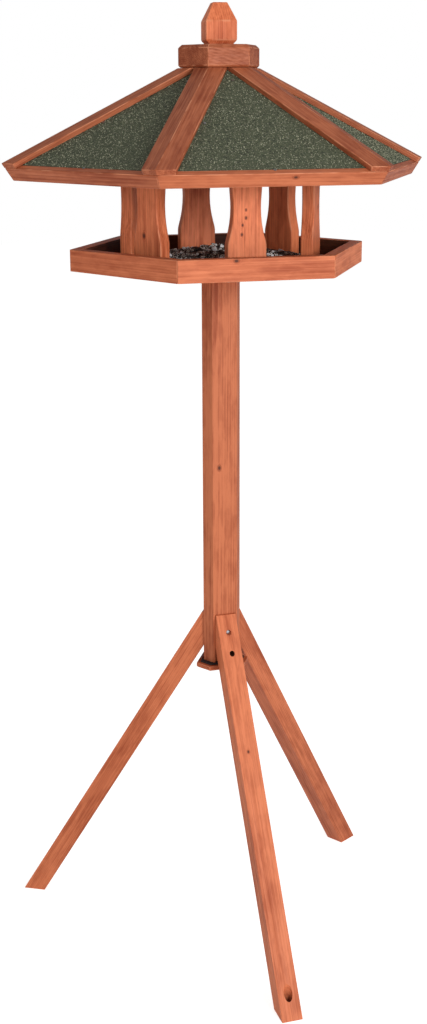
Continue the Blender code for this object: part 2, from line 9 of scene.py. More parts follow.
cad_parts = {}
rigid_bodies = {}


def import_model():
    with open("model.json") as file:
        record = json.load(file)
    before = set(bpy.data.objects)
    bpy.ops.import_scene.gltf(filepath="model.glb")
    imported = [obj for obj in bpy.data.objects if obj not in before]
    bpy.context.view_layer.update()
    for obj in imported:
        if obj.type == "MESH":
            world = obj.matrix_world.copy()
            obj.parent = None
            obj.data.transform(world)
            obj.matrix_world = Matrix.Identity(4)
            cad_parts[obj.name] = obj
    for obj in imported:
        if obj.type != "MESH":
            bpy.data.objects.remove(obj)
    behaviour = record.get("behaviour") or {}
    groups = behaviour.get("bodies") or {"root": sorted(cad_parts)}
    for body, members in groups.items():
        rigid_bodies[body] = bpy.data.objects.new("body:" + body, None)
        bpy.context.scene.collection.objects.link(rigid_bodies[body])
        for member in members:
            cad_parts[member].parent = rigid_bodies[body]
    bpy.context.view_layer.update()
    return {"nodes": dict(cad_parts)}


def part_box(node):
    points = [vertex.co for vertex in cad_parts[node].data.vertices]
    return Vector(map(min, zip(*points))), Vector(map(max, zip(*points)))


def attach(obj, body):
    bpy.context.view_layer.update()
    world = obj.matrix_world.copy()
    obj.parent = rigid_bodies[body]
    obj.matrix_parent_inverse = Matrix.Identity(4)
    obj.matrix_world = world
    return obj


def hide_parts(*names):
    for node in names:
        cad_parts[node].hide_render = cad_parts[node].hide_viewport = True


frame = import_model()
print("frame loaded:", len(frame["nodes"]), "nodes")

sides = ("front", "front_right", "back_right", "back", "back_left", "front_left")
hips = ("front_right", "right", "back_right", "back_left", "left", "front_left")
legs = {"front": 0.0, "right": 120.0, "left": 240.0}
sideTurn = 60  # degrees from one side to the next
hipTurn = 30  # degrees from a side's middle to the next hip
roofPitch = math.radians(30)

up = Vector((0, 0, 1))
floorLow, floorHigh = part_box("tray_floor")
floorTop = floorHigh.z
axis = (floorLow + floorHigh) / 2  # the feeder's own upright axis goes through the middle of its floor
axis.z = 0.0


def outward(angle):
    # level direction, in degrees round from the front
    turn = math.radians(angle)
    return Vector((math.sin(turn), -math.cos(turn), 0))


def alongSide(angle):
    return up.cross(outward(angle))


def roofNormal(angle):
    return (outward(angle) * math.sin(roofPitch) + up * math.cos(roofPitch)).normalized()


def middleOf(node):
    low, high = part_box(node)
    return (low + high) / 2


# shader building
class Wire:
    # one socket of a node tree; sums and products of wires add Math nodes
    def __init__(self, graph, socket):
        self.graph = graph
        self.socket = socket

    def calc(self, operation, *values):
        return self.graph.node("ShaderNodeMath", {"operation": operation}, dict(enumerate((self, *values))))

    def flipped(self, operation, value):
        return self.graph.node("ShaderNodeMath", {"operation": operation}, {0: value, 1: self})

    def __add__(self, value):
        return self.calc("ADD", value)

    __radd__ = __add__

    def __mul__(self, value):
        return self.calc("MULTIPLY", value)

    __rmul__ = __mul__

    def __sub__(self, value):
        return self.calc("SUBTRACT", value)

    def __rsub__(self, value):
        return self.flipped("SUBTRACT", value)

    def __truediv__(self, value):
        return self.calc("DIVIDE", value)

    def __rtruediv__(self, value):
        return self.flipped("DIVIDE", value)

    def range(self, low, high, outLow=0.0, outHigh=1.0):
        # remapped smoothly, and held at the ends
        settings = {"interpolation_type": "SMOOTHSTEP"}
        values = {0: self, 1: low, 2: high, 3: outLow, 4: outHigh}
        return self.graph.node("ShaderNodeMapRange", settings, values)


class Graph:
    # a shader tree, filled node by node
    def __init__(self, tree):
        self.tree = tree

    def node(self, kind, settings=None, values=None, output=0):
        made = self.tree.nodes.new(kind)
        for key, value in (settings or {}).items():
            if key == "stops":
                while len(made.color_ramp.elements) < len(value):
                    made.color_ramp.elements.new(0.5)
                for element, (place, colour) in zip(made.color_ramp.elements, value):
                    element.position = place
                    element.color = (*colour, 1.0)
            else:
                setattr(made, key, value)
        for key, value in (values or {}).items():
            self.feed(made.inputs[key], value)
        return Wire(self, made.outputs[output])

    def feed(self, socket, value):
        if isinstance(value, Wire):
            self.tree.links.new(value.socket, socket)
        elif isinstance(value, (tuple, list, Vector)) and len(socket.default_value) == 4:
            socket.default_value = (*value, 1.0)
        else:
            socket.default_value = value


class Finish(Graph):
    # a material with one Principled shader
    def __init__(self, name, roughness, metallic=0.0):
        self.material = bpy.data.materials.new(name)
        self.material.use_nodes = True
        super().__init__(self.material.node_tree)
        self.shader = self.tree.nodes["Principled BSDF"]
        self.set({"Roughness": roughness, "Metallic": metallic})

    def set(self, values):
        for key, value in values.items():
            self.feed(self.shader.inputs[key], value)

    def objectPoint(self):
        return self.node("ShaderNodeTexCoord", output="Object")

    def attribute(self, name, output="Vector"):
        return self.node("ShaderNodeAttribute", {"attribute_name": name}, output=output)

    def vector(self, operation, values, output="Vector"):
        return self.node("ShaderNodeVectorMath", {"operation": operation}, values, output)

    def scaled(self, point, x, y, z):
        return self.vector("MULTIPLY", {0: point, 1: (x, y, z)})

    def split(self, point):
        x = self.node("ShaderNodeSeparateXYZ", values={0: point})
        return tuple(Wire(self, output) for output in x.socket.node.outputs)

    def noise(self, point, scale=1.0, detail=2.0, roughness=0.5, output="Fac"):
        values = {"Vector": point, "Scale": scale, "Detail": detail, "Roughness": roughness}
        return self.node("ShaderNodeTexNoise", values=values, output=output)

    def mix(self, factor, first, second):
        # colours only
        return self.node("ShaderNodeMix", {"data_type": "RGBA"}, {0: factor, 6: first, 7: second}, output=2)

    def bump(self, height, strength, distance):
        values = {"Height": height, "Strength": strength, "Distance": distance}
        return self.node("ShaderNodeBump", values=values, output="Normal")


# stained pine
pine = {
    "light": (0.77, 0.222, 0.094),  # early wood under the stain
    "dark": (0.40, 0.078, 0.026),  # late wood
    "worn": (0.85, 0.35, 0.19),  # eased arrises, where the stain is thin
    "black": (0.011, 0.008, 0.006),  # the inner faces of the tray, and painted shade in the peg holes and the lower screws' recesses
    "ring": 0.0027,  # width of a year's growth
    "sway": 0.010,  # how far the rings wander
    "swayScale": (2.2, 18.0, 18.0),  # noise along the board, across it, and through it
    "streakScale": (5.0, 420.0, 420.0),
    "poreScale": (60.0, 1500.0, 1500.0),
    "patchScale": (3.0, 22.0, 22.0),
    "blotchScale": (26.0, 95.0, 95.0),
    "wearScale": (30.0, 60.0, 60.0),
    "lateShare": 0.22,  # what each part of the figure adds to the darkness
    "streakShare": 0.38,
    "patchShare": 0.36,
    "blotchShare": 0.34,
    "mean": 0.62,  # the point that contrast turns about
    "darkness": 0.40,
    "knot": (0.34, 0.085, 0.034),
    "heart": (0.060, 0.020, 0.012),  # the dark middle of a knot
    "knotReach": 1.5,  # a knot's dark wood, in radii
    "knotStretch": 0.55,  # longer along the grain
    "knotBend": 0.006,  # how far the rings bend round it
    "gloss": 0.24,
    "relief": 0.0006,
    "roughness": 0.5,
}


def knotShade(finish, knots):
    # how deep inside a knot a point lies, 0 to 1, over all the knots of one finish
    point = finish.objectPoint()
    core = None
    for place, radius, grain in knots:
        away = finish.vector("SUBTRACT", {0: point, 1: place})
        along = finish.vector("DOT_PRODUCT", {0: away, 1: grain}, "Value")
        reach = finish.vector("LENGTH", {0: away}, "Value")
        squared = reach * reach - along * along * pine["knotStretch"]
        near = squared.calc("MAXIMUM", 0.0).calc("SQRT").range(radius * pine["knotReach"], 0.0)
        core = near if core is None else core.calc("MAXIMUM", near)
    return core


def stainedPine(name, tone=1.0, contrast=1.0, knots=()):
    finish = Finish(name, pine["roughness"])
    board = finish.attribute("boardPoint")  # along the grain, across the board, through it
    tint = finish.attribute("boardTone", "Fac")
    core = knotShade(finish, knots) if knots else None

    sway = finish.noise(finish.scaled(board, *pine["swayScale"]), 1.0, 2.0)
    along, across, through = finish.split(board)
    radius = (across * across + through * through).calc("SQRT") + sway * pine["sway"]
    if core is not None:
        radius = radius + core * pine["knotBend"]
    growth = (radius / pine["ring"]).calc("FRACT")
    late = growth.range(0.25, 0.92) * growth.range(1.0, 0.94)

    streak = finish.noise(finish.scaled(board, *pine["streakScale"]), 1.0, 3.0, 0.6)
    pores = finish.noise(finish.scaled(board, *pine["poreScale"]), 1.0, 1.0)
    patch = finish.noise(finish.scaled(board, *pine["patchScale"]), 1.0, 2.0)
    blotch = finish.noise(finish.scaled(board, *pine["blotchScale"]), 1.0, 3.0, 0.6)

    figure = late * pine["lateShare"] + streak.range(0.32, 0.68) * pine["streakShare"]
    cloud = patch.range(0.34, 0.66) * pine["patchShare"] + blotch.range(0.36, 0.66) * pine["blotchShare"]
    amount = (figure + cloud - pine["mean"]) * contrast + tint + pine["darkness"]
    light = tuple(c * tone for c in pine["light"])
    dark = tuple(c * tone for c in pine["dark"])
    clamped = amount.calc("MAXIMUM", 0.0).calc("MINIMUM", 1.0)
    colour = finish.mix(clamped, light, dark)
    colour = finish.mix(pores.range(0.62, 0.8) * 0.35, colour, dark)
    if core is not None:
        colour = finish.mix(core.range(0.20, 0.50) * 0.6, colour, dark)
        colour = finish.mix(core.range(0.52, 0.70), colour, pine["knot"])
        colour = finish.mix(core.range(0.72, 0.90) * 0.85, colour, pine["heart"])
    arris = finish.attribute("arris", "Fac")
    worn = arris * finish.noise(finish.scaled(board, *pine["wearScale"])).range(0.42, 0.58) * 0.5
    colour = finish.mix(worn, colour, pine["worn"])
    # blackened faces: the tray's inner faces, and painted shade on the peg holes' lower walls and in the
    # lower screws' recesses
    colour = finish.mix(finish.attribute("blackened", "Fac"), colour, pine["black"])
    finish.set({"Base Color": colour})
    smooth, dry = pine["roughness"] - 0.07, pine["roughness"] + 0.12
    finish.set({"Roughness": streak.range(0.2, 0.8, smooth, dry)})
    height = streak * 0.5 + late * 0.25 + pores * 0.3
    finish.set({"Normal": finish.bump(height, 0.35, pine["relief"]), "Specular IOR Level": pine["gloss"]})
    return finish.material


# a board's own directions: along the grain, across it, and through its thickness
def sideFrame(angle, along="side"):
    out, tangent = outward(angle), alongSide(angle)
    if along == "side":
        return tangent, up, out
    return up, tangent, out


merging = {"distance": 1e-5, "flatness": math.radians(0.6), "arris": math.radians(25.0)}


def wholeFaces(node):
    # the node's mesh with its loose triangles merged into whole faces
    bm = bmesh.new()
    bm.from_mesh(frame["nodes"][node].data)
    bmesh.ops.remove_doubles(bm, verts=bm.verts, dist=merging["distance"])
    bmesh.ops.dissolve_limit(bm, angle_limit=merging["flatness"], verts=bm.verts, edges=bm.edges)
    return bm


def knotOn(angle, out, aside, height, radius, lengthways=None):
    # a knot on the side that looks along `angle`: out from the axis, sideways, and above the ground
    place = axis + outward(angle) * out + alongSide(angle) * aside + up * height
    return place, radius, lengthways or alongSide(angle)


def roundedCopy(node, bevel):
    # the node's mesh with its arrises eased
    bm = wholeFaces(node)
    edges = [e for e in bm.edges if e.is_manifold and e.calc_face_angle() > merging["arris"]]
    made = bmesh.ops.bevel(bm, geom=edges, offset=bevel, offset_type="OFFSET", segments=2,
                           profile=0.5, affect="EDGES", clamp_overlap=True)
    eased = set(made["faces"])
    layer = bm.loops.layers.float.new("arris")
    for face in bm.faces:
        face.smooth = face in eased
        for loop in face.loops:
            loop[layer] = 1.0 if face in eased else 0.0
    bmesh.ops.triangulate(bm, faces=[f for f in bm.faces if len(f.verts) > 4])
    mesh = bpy.data.meshes.new(node + "_wood")
    bm.to_mesh(mesh)
    bm.free()
    return mesh


timber = {  # how a board is cut from its log
    "pith": (0.0, 0.055),  # where the log's middle lies from the board's: across, and through
    "lengthways": 3.0,  # how far along the log a board may come from
    "sideways": 0.02,  # how far the log's middle may move across the board
    "inwards": (-0.015, 0.02),  # and through it
    "tilt": 0.010,  # the log's axis is never quite in line with the board
    "toneSpread": 0.10,  # how much boards of one kind differ in darkness
}


def addBoard(name, node, material, directions, seed, bevel, pith=timber["pith"], blackened=None):
    rng = random.Random(seed)
    mesh = roundedCopy(node, bevel)
    middle = middleOf(node)
    along, across, through = directions
    lengthways = rng.uniform(-timber["lengthways"], timber["lengthways"])
    sideways = pith[0] + rng.uniform(-timber["sideways"], timber["sideways"])
    inwards = pith[1] + rng.uniform(*timber["inwards"])
    shift = Vector((lengthways, sideways, inwards))
    tilt = rng.uniform(-timber["tilt"], timber["tilt"])
    mesh.attributes.new("boardPoint", "FLOAT_VECTOR", "POINT")
    mesh.attributes.new("boardTone", "FLOAT", "POINT")
    mesh.attributes.new("blackened", "FLOAT", "CORNER")
    points, tones, blacks = (mesh.attributes[key] for key in ("boardPoint", "boardTone", "blackened"))
    for face in mesh.polygons:
        for i in face.loop_indices:
            corner = mesh.vertices[mesh.loops[i].vertex_index].co
            blacks.data[i].value = blackened(face.center, face.normal, corner) if blackened else 0.0
    spread = rng.uniform(-timber["toneSpread"], timber["toneSpread"])
    for i, vert in enumerate(mesh.vertices):
        local = vert.co - middle
        x = local.dot(along)
        grain = Vector((x, local.dot(across) + x * tilt, local.dot(through) + x * tilt))
        points.data[i].vector = grain + shift
        tones.data[i].value = spread
    mesh.materials.clear()
    mesh.materials.append(material)
    obj = bpy.data.objects.new(name, mesh)
    bpy.context.scene.collection.objects.link(obj)
    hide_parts(node)
    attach(obj, "root")


# pieces of wood
firstSeed = {"rim": 11, "post": 31, "eave": 51, "batten": 71, "leg": 101}  # a kind's first board
levelGrain = (Vector((1, 0, 0)), Vector((0, 1, 0)), up)
uprightGrain = (up, Vector((1, 0, 0)), Vector((0, 1, 0)))

rimLook = {"bevel": 0.0009, "stain": 0.85, "out": 0.1974}
rimFinish = stainedPine("rimPine", tone=0.95, knots=[
    knotOn(0, rimLook["out"], -0.030, 1.109, 0.0042),
    knotOn(120, rimLook["out"], 0.055, 1.094, 0.0050),
    knotOn(240, rimLook["out"], -0.040, 1.100, 0.0036),
])


def innerSide(angle, amount):
    # a rule that blackens the faces looking in towards the axis
    return lambda centre, normal, corner: amount if normal.dot(outward(angle)) < -0.7 else 0.0


for k, side in enumerate(sides):
    addBoard("rim_" + side, "tray_rim_" + side, rimFinish, sideFrame(sideTurn * k), firstSeed["rim"] + k,
             bevel=rimLook["bevel"], blackened=innerSide(sideTurn * k, rimLook["stain"]))

postLook = {"bevel": 0.0016, "out": 0.148}
postFinish = stainedPine("postPine", tone=1.14, contrast=1.15, knots=[
    knotOn(0, postLook["out"], -0.008, 1.140, 0.0026, up),
    knotOn(0, postLook["out"], -0.007, 1.153, 0.0024, up),
    knotOn(0, postLook["out"], -0.002, 1.163, 0.0026, up),
    knotOn(0, postLook["out"], -0.002, 1.174, 0.0022, up),
    knotOn(300, postLook["out"], -0.006, 1.135, 0.0045, up),
    knotOn(60, postLook["out"], 0.008, 1.170, 0.0040, up),
    knotOn(180, postLook["out"], 0.010, 1.140, 0.0040, up),
])
for k, side in enumerate(sides):
    addBoard("upright_" + side, "post_" + side, postFinish, sideFrame(sideTurn * k, "up"),
             firstSeed["post"] + k, bevel=postLook["bevel"])

eaveLook = {"bevel": 0.0009, "out": 0.272}
eaveFinish = stainedPine("eavePine", tone=0.75, knots=[
    knotOn(0, eaveLook["out"], 0.030, 1.224, 0.0040),
    knotOn(60, eaveLook["out"], -0.070, 1.220, 0.0040),
    knotOn(180, eaveLook["out"], 0.050, 1.220, 0.0045),
])
for k, side in enumerate(sides):
    addBoard("fascia_" + side, "eave_board_" + side, eaveFinish, sideFrame(sideTurn * k),
             firstSeed["eave"] + k, bevel=eaveLook["bevel"])

battenLook = {"bevel": 0.0009, "run": 0.258}  # level length
battenFinish = stainedPine("battenPine", tone=0.66, contrast=1.15, knots=[
    knotOn(hipTurn, 0.115, 0.0, 1.331, 0.0045, outward(hipTurn)),
])
for k, hip in enumerate(hips):
    angle = hipTurn + sideTurn * k
    low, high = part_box("hip_batten_" + hip)
    slope = math.atan2(high.z - low.z, battenLook["run"])
    down = (outward(angle) * math.cos(slope) - up * math.sin(slope)).normalized()
    across = alongSide(angle)
    addBoard("batten_" + hip, "hip_batten_" + hip, battenFinish, (down, across, down.cross(across)),
             firstSeed["batten"] + k, bevel=battenLook["bevel"])

capLook = {"bevel": 0.0012, "pith": (0.01, 0.03)}
capFinish = stainedPine("capPine", tone=0.66, contrast=1.2)
capGrain = (Vector((1, 0.2, 0)).normalized(), Vector((-0.2, 1, 0)).normalized(), up)
addBoard("cap", "roof_cap", capFinish, capGrain, 91, pith=capLook["pith"], bevel=capLook["bevel"])

finialLook = {"bevel": 0.0014, "pith": (0.03, 0.03)}
finialFinish = stainedPine("finialPine", tone=1.20, contrast=0.9)
addBoard("knob", "finial", finialFinish, uprightGrain, 92, pith=finialLook["pith"], bevel=finialLook["bevel"])

poleLook = {"bevel": 0.0016, "pith": (0.02, 0.05)}
poleFinish = stainedPine("polePine", tone=0.78, contrast=1.3, knots=[
    (axis + Vector((-0.008, -0.0236, 0.773)), 0.0045, up),
    (axis + Vector((0.020, 0.012, 0.90)), 0.005, up),
])
addBoard("column", "pole", poleFinish, uprightGrain, 93, pith=poleLook["pith"], bevel=poleLook["bevel"])

legLook = {
    "bevel": 0.0014,
    "turn": 2.3,  # degrees that the stand is out of line with the tray
    "run": 0.321,  # level distance from a leg's head to its foot
    "rise": 0.5325,
    # how dark the painted shade is on the peg holes' lower walls and in the lower screws' recesses
    "stain": 0.9,
    "holeReach": 0.327,  # pole's axis to a peg hole's middle
    "holeRadius": 0.0068,
    "recessRadius": 0.0045,
}
legFinish = stainedPine("legPine", tone=1.05, knots=[
    knotOn(legLook["turn"], 0.14, 0.0, 0.345, 0.003, up),
])
# the right and left legs share a darker copy of the leg pine: painted shade
backLegShadedFinish = stainedPine("backLegShadedPine", tone=0.86, contrast=1.1)


def holeWall(name, angle):
    # a rule that paints shade, in black, on the lower wall of the upright hole in a foot and in the lower
    # screw's recess
    spot = axis + outward(angle) * legLook["holeReach"]
    screw = middleOf("leg_screw_lower_" + name)

    def rule(centre, normal, corner):
        away = Vector((centre.x - spot.x, centre.y - spot.y)).length
        # painted shade: only the lower corners of the hole's wall go black, so the hole darkens downwards
        if abs(normal.z) < 0.05 and away < legLook["holeRadius"]:
            return legLook["stain"] if corner.z < centre.z else 0.0
        offset = centre - screw
        offset -= outward(angle) * offset.dot(outward(angle))
        # painted shade in the lower screw's recess
        inRecess = abs(normal.dot(outward(angle))) < 0.1 and offset.length < legLook["recessRadius"]
        return legLook["stain"] if inRecess else 0.0

    return rule


for k, (name, angle) in enumerate(legs.items()):
    turned = angle + legLook["turn"]
    lean = math.atan2(legLook["run"], legLook["rise"])
    down = (outward(turned) * math.sin(lean) - up * math.cos(lean)).normalized()
    across = alongSide(turned)
    addBoard("stand_leg_" + name, "leg_" + name, legFinish if name == "front" else backLegShadedFinish,
             (down, across, down.cross(across)), firstSeed["leg"] + k, bevel=legLook["bevel"],
             blackened=holeWall(name, turned))

plateFinish = stainedPine("platePine", tone=0.85, contrast=1.1)
addBoard("foot_plate", "hub_plate", plateFinish, levelGrain, 121, bevel=0.0008)
addBoard("top_plate", "head_plate", plateFinish, levelGrain, 122, bevel=0.0012)
addBoard("apex_core", "apex_block", plateFinish, levelGrain, 123, bevel=0.0012)
print("wood pieces made")

# roof panels, floor board, pad
panelLook = {"colour": (0.36, 0.15, 0.075), "dark": (0.22, 0.085, 0.04)}


def panelFinish():
    finish = Finish("panelPly", 0.7)
    point = finish.objectPoint()
    grain = finish.noise(finish.scaled(point, 22.0, 160.0, 160.0), 1.0, 3.0)
    patch = finish.noise(point, 14.0, 2.0)
    colour = finish.mix(grain.range(0.3, 0.7) * 0.6 + patch * 0.3, panelLook["colour"], panelLook["dark"])
    finish.set({"Base Color": colour, "Roughness": grain.range(0.2, 0.8, 0.6, 0.8)})
    finish.set({"Normal": finish.bump(grain, 0.25, 0.0006)})
    return finish.material


panelPly = panelFinish()
for side in sides:
    frame["nodes"]["roof_panel_" + side].data.materials[0] = panelPly


floorLook = {
    "dark": (0.010, 0.008, 0.007),
    "pale": (0.022, 0.017, 0.013),
    "dust": (0.11, 0.09, 0.07),
}


def floorFinish():
    finish = Finish("floorBoard", 0.75)
    point = finish.objectPoint()
    grain = finish.noise(finish.scaled(point, 18.0, 260.0, 60.0), 1.0, 3.0)
    dust = finish.noise(point, 420.0, 2.0).range(0.64, 0.74)
    colour = finish.mix(grain.range(0.3, 0.7), floorLook["dark"], floorLook["pale"])
    colour = finish.mix(dust * 0.35, colour, floorLook["dust"])
    finish.set({"Base Color": colour, "Roughness": grain.range(0.2, 0.8, 0.62, 0.85)})
    finish.set({"Normal": finish.bump(grain + dust, 0.3, 0.0006)})
    return finish.material


frame["nodes"]["tray_floor"].data.materials[0] = floorFinish()


padLook = {"dark": (0.010, 0.010, 0.011), "pale": (0.03, 0.03, 0.032)}


def padFinish():
    finish = Finish("blackPad", 0.7)
    point = finish.objectPoint()
    speck = finish.noise(point, 600.0, 2.0)
    finish.set({"Base Color": finish.mix(speck.range(0.4, 0.7), padLook["dark"], padLook["pale"])})
    finish.set({"Roughness": speck.range(0.3, 0.7, 0.6, 0.85), "Normal": finish.bump(speck, 0.3, 0.0004)})
    return finish.material


frame["nodes"]["hub_pad"].data.materials[0] = padFinish()

# zinc
zincLook = {"bright": (0.62, 0.63, 0.66), "dull": (0.36, 0.37, 0.38)}
# darker zinc: weathered on the felt nails, and painted shade on the lower screws deep in their recesses
weatheredAndShadedLook = {"bright": (0.34, 0.34, 0.33), "dull": (0.17, 0.16, 0.14)}


def zincFinish(name, look):
    finish = Finish(name, 0.35, 1.0)
    point = finish.objectPoint()
    stain = finish.noise(point, 260.0, 3.0)
    scratch = finish.noise(finish.scaled(point, 900.0, 900.0, 3000.0), 1.0, 2.0)
    finish.set({"Base Color": finish.mix(stain.range(0.35, 0.75), look["bright"], look["dull"])})
    finish.set({"Roughness": stain.range(0.3, 0.7, 0.28, 0.5), "Normal": finish.bump(scratch, 0.2, 0.0002)})
    return finish.material


zinc = zincFinish("zincPlate", zincLook)
weatheredAndShadedZinc = zincFinish("weatheredAndShadedZinc", weatheredAndShadedLook)
for name, node in frame["nodes"].items():
    if "screw" in name or name == "finial_bolt":
        # the lower screws take the darker zinc as painted shade
        node.data.materials[0] = weatheredAndShadedZinc if "lower" in name else zinc


# geometry node building
class Tree:
    # a Geometry Nodes tree, with named inputs and the same node method as a finish
    def __init__(self, name):
        self.tree = bpy.data.node_groups.new(name, "GeometryNodeTree")
        self.tree.interface.new_socket("Geometry", in_out="INPUT", socket_type="NodeSocketGeometry")
        self.tree.interface.new_socket("Geometry", in_out="OUTPUT", socket_type="NodeSocketGeometry")
        self.start = self.tree.nodes.new("NodeGroupInput")
        self.end = self.tree.nodes.new("NodeGroupOutput")
        self.ids = {}

    def size(self, name, kind, value):
        made = self.tree.interface.new_socket(name, in_out="INPUT", socket_type=kind)
        made.default_value = value
        self.ids[name] = made.identifier
        return self.start.outputs[name]

    def node(self, kind, settings=None, values=None, output=0):
        made = self.tree.nodes.new(kind)
        for key, value in (settings or {}).items():
            setattr(made, key, value)
        for key, value in (values or {}).items():
            if isinstance(value, bpy.types.NodeSocket):
                self.tree.links.new(value, made.inputs[key])
            elif isinstance(value, list):
                for part in value:
                    self.tree.links.new(part, made.inputs[key])
            else:
                made.inputs[key].default_value = value
        return made.outputs[output]

    def finishWith(self, geometry, material):
        real = self.node("GeometryNodeRealizeInstances", values={"Geometry": geometry})
        dressed = self.node("GeometryNodeSetMaterial", values={"Geometry": real, "Material": material})
        self.tree.links.new(dressed, self.end.inputs[0])

    def run(self, base, name, sizes):
        # applied to a base object, and kept as a plain mesh
        modifier = base.modifiers.new("make", "NODES")
        modifier.node_group = self.tree
        for key, value in sizes.items():
            modifier[self.ids[key]] = value
        bpy.context.view_layer.update()
        graph = bpy.context.evaluated_depsgraph_get()
        mesh = bpy.data.meshes.new_from_object(base.evaluated_get(graph))
        mesh.name = name
        bpy.data.objects.remove(base, do_unlink=True)
        obj = bpy.data.objects.new(name, mesh)
        bpy.context.scene.collection.objects.link(obj)
        return obj


def meshObject(name, bm):
    mesh = bpy.data.meshes.new(name)
    bm.to_mesh(mesh)
    bm.free()
    obj = bpy.data.objects.new(name, mesh)
    bpy.context.scene.collection.objects.link(obj)
    return obj


# roofing felt: the sheets and their mineral granules
feltLook = {
    "base": (0.100, 0.112, 0.064),
    "shade": (0.024, 0.030, 0.017),
    "pale": (0.46, 0.44, 0.31),
    "grains": [(0.0, (0.018, 0.024, 0.013)), (0.43, (0.075, 0.095, 0.052)), (0.53, (0.18, 0.19, 0.115)),
               (0.64, (0.44, 0.43, 0.30))],
    "granule": 0.00090,  # radius
    "smallest": (0.45, 0.45, 0.3),  # size against that, by direction
    "largest": (1.25, 1.1, 0.8),
    "perSquareMetre": 150000.0,
    "thickness": 0.002,
}


def feltFinish():
    finish = Finish("mineralFelt", 0.95)
    point = finish.objectPoint()
    grit = finish.noise(point, 330.0, 2.0, 0.7)
    fine = finish.noise(point, 800.0, 1.0)
    broad = finish.noise(point, 9.0, 2.0)
    colour = finish.mix(grit.range(0.36, 0.62), feltLook["shade"], feltLook["base"])
    colour = finish.mix(fine.range(0.60, 0.74) * 0.55, colour, feltLook["pale"])
    colour = finish.mix(broad.range(0.3, 0.7) * 0.25, colour, feltLook["base"])
    finish.set({"Base Color": colour, "Roughness": grit.range(0.3, 0.7, 0.85, 1.0)})
    finish.set({"Normal": finish.bump(grit + fine * 0.5, 0.6, 0.0009)})
    return finish.material


def granuleFinish():
    finish = Finish("mineralGranules", 0.8)
    point = finish.objectPoint()
    pick = finish.noise(point, 380.0, 0.0)
    colour = finish.node("ShaderNodeValToRGB", {"stops": feltLook["grains"]}, {"Fac": pick}, "Color")
    finish.set({"Base Color": colour, "Roughness": pick.range(0.3, 0.7, 0.65, 0.95)})
    finish.set({"Normal": finish.bump(finish.noise(point, 2500.0, 1.0), 0.3, 0.0003)})
    return finish.material


feltMaterial = feltFinish()
granuleMaterial = granuleFinish()


def granuleTree():
    tree = Tree("granules")
    density = tree.size("Density", "NodeSocketFloat", feltLook["perSquareMetre"])
    radius = tree.size("Radius", "NodeSocketFloat", feltLook["granule"])
    seed = tree.size("Seed", "NodeSocketInt", 1)
    spread = tree.node("GeometryNodeDistributePointsOnFaces", values={
        "Mesh": tree.start.outputs["Geometry"], "Density": density, "Seed": seed})
    grain = tree.node("GeometryNodeMeshIcoSphere", values={"Radius": radius, "Subdivisions": 1})
    turn = tree.node("FunctionNodeRandomValue", {"data_type": "FLOAT_VECTOR"}, {
        "Min": (0, 0, 0), "Max": (6.28, 6.28, 6.28), "Seed": seed})
    grow = tree.node("FunctionNodeRandomValue", {"data_type": "FLOAT_VECTOR"}, {
        "Min": feltLook["smallest"], "Max": feltLook["largest"], "Seed": seed})
    placed = tree.node("GeometryNodeInstanceOnPoints", values={
        "Points": spread, "Instance": grain, "Rotation": turn, "Scale": grow})
    tree.finishWith(placed, granuleMaterial)
    return tree


granules = granuleTree()
for k, side in enumerate(sides):
    sheet = meshObject("felt_sheet_" + side, wholeFaces("roof_felt_" + side))
    normal = roofNormal(sideTurn * k)
    bm = bmesh.new()
    bm.from_mesh(sheet.data)
    bmesh.ops.delete(bm, geom=[f for f in bm.faces if f.normal.dot(normal) <= 0.9], context="FACES")
    base = meshObject("felt_top_" + side, bm)
    sizes = {"Density": feltLook["perSquareMetre"], "Radius": feltLook["granule"], "Seed": 5 + k}
    grit = granules.run(base, "granules_" + side, sizes)
    sheet.data.materials.clear()
    sheet.data.materials.append(feltMaterial)
    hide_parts("roof_felt_" + side)
    for piece in (sheet, grit):
        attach(piece, "root")
print("felt made")

# felt nails
nailLook = {
    "head": 0.0022,  # radius
    "thick": 0.0008,
    "lift": 0.0004,
    "places": ((0.070, 0.004), (0.267, 0.006), (0.165, -0.064)),  # out from the axis, and sideways
}


def nailTree():
    tree = Tree("feltNails")
    radius = tree.size("Head radius", "NodeSocketFloat", nailLook["head"])
    thick = tree.size("Head thickness", "NodeSocketFloat", nailLook["thick"])
    head = tree.node("GeometryNodeMeshCylinder", values={"Vertices": 14, "Radius": radius, "Depth": thick})
    dome = tree.node("GeometryNodeMeshUVSphere", values={"Segments": 14, "Rings": 6, "Radius": radius})
    flat = tree.node("GeometryNodeTransform", values={"Geometry": dome, "Scale": (0.92, 0.92, 0.34)})
    both = tree.node("GeometryNodeJoinGeometry", values={"Geometry": [head, flat]})
    normal = tree.node("GeometryNodeInputNamedAttribute", {"data_type": "FLOAT_VECTOR"}, {"Name": "facing"})
    turn = tree.node("FunctionNodeAlignRotationToVector", {"axis": "Z"}, {"Vector": normal})
    placed = tree.node("GeometryNodeInstanceOnPoints", values={
        "Points": tree.start.outputs["Geometry"], "Instance": both, "Rotation": turn})
    tree.finishWith(placed, weatheredAndShadedZinc)
    return tree


def roofPoint(angle, flat, aside, lift):
    # a point on the felt of one side: distance out from the axis, sideways, and above the surface
    normal = roofNormal(angle)
    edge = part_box("roof_felt_front")[0]
    rise = (axis.y - edge.y - flat) * math.tan(roofPitch)
    height = edge.z + feltLook["thickness"] * math.cos(roofPitch) + rise
    return axis + outward(angle) * flat + alongSide(angle) * aside + up * height + normal * lift, normal


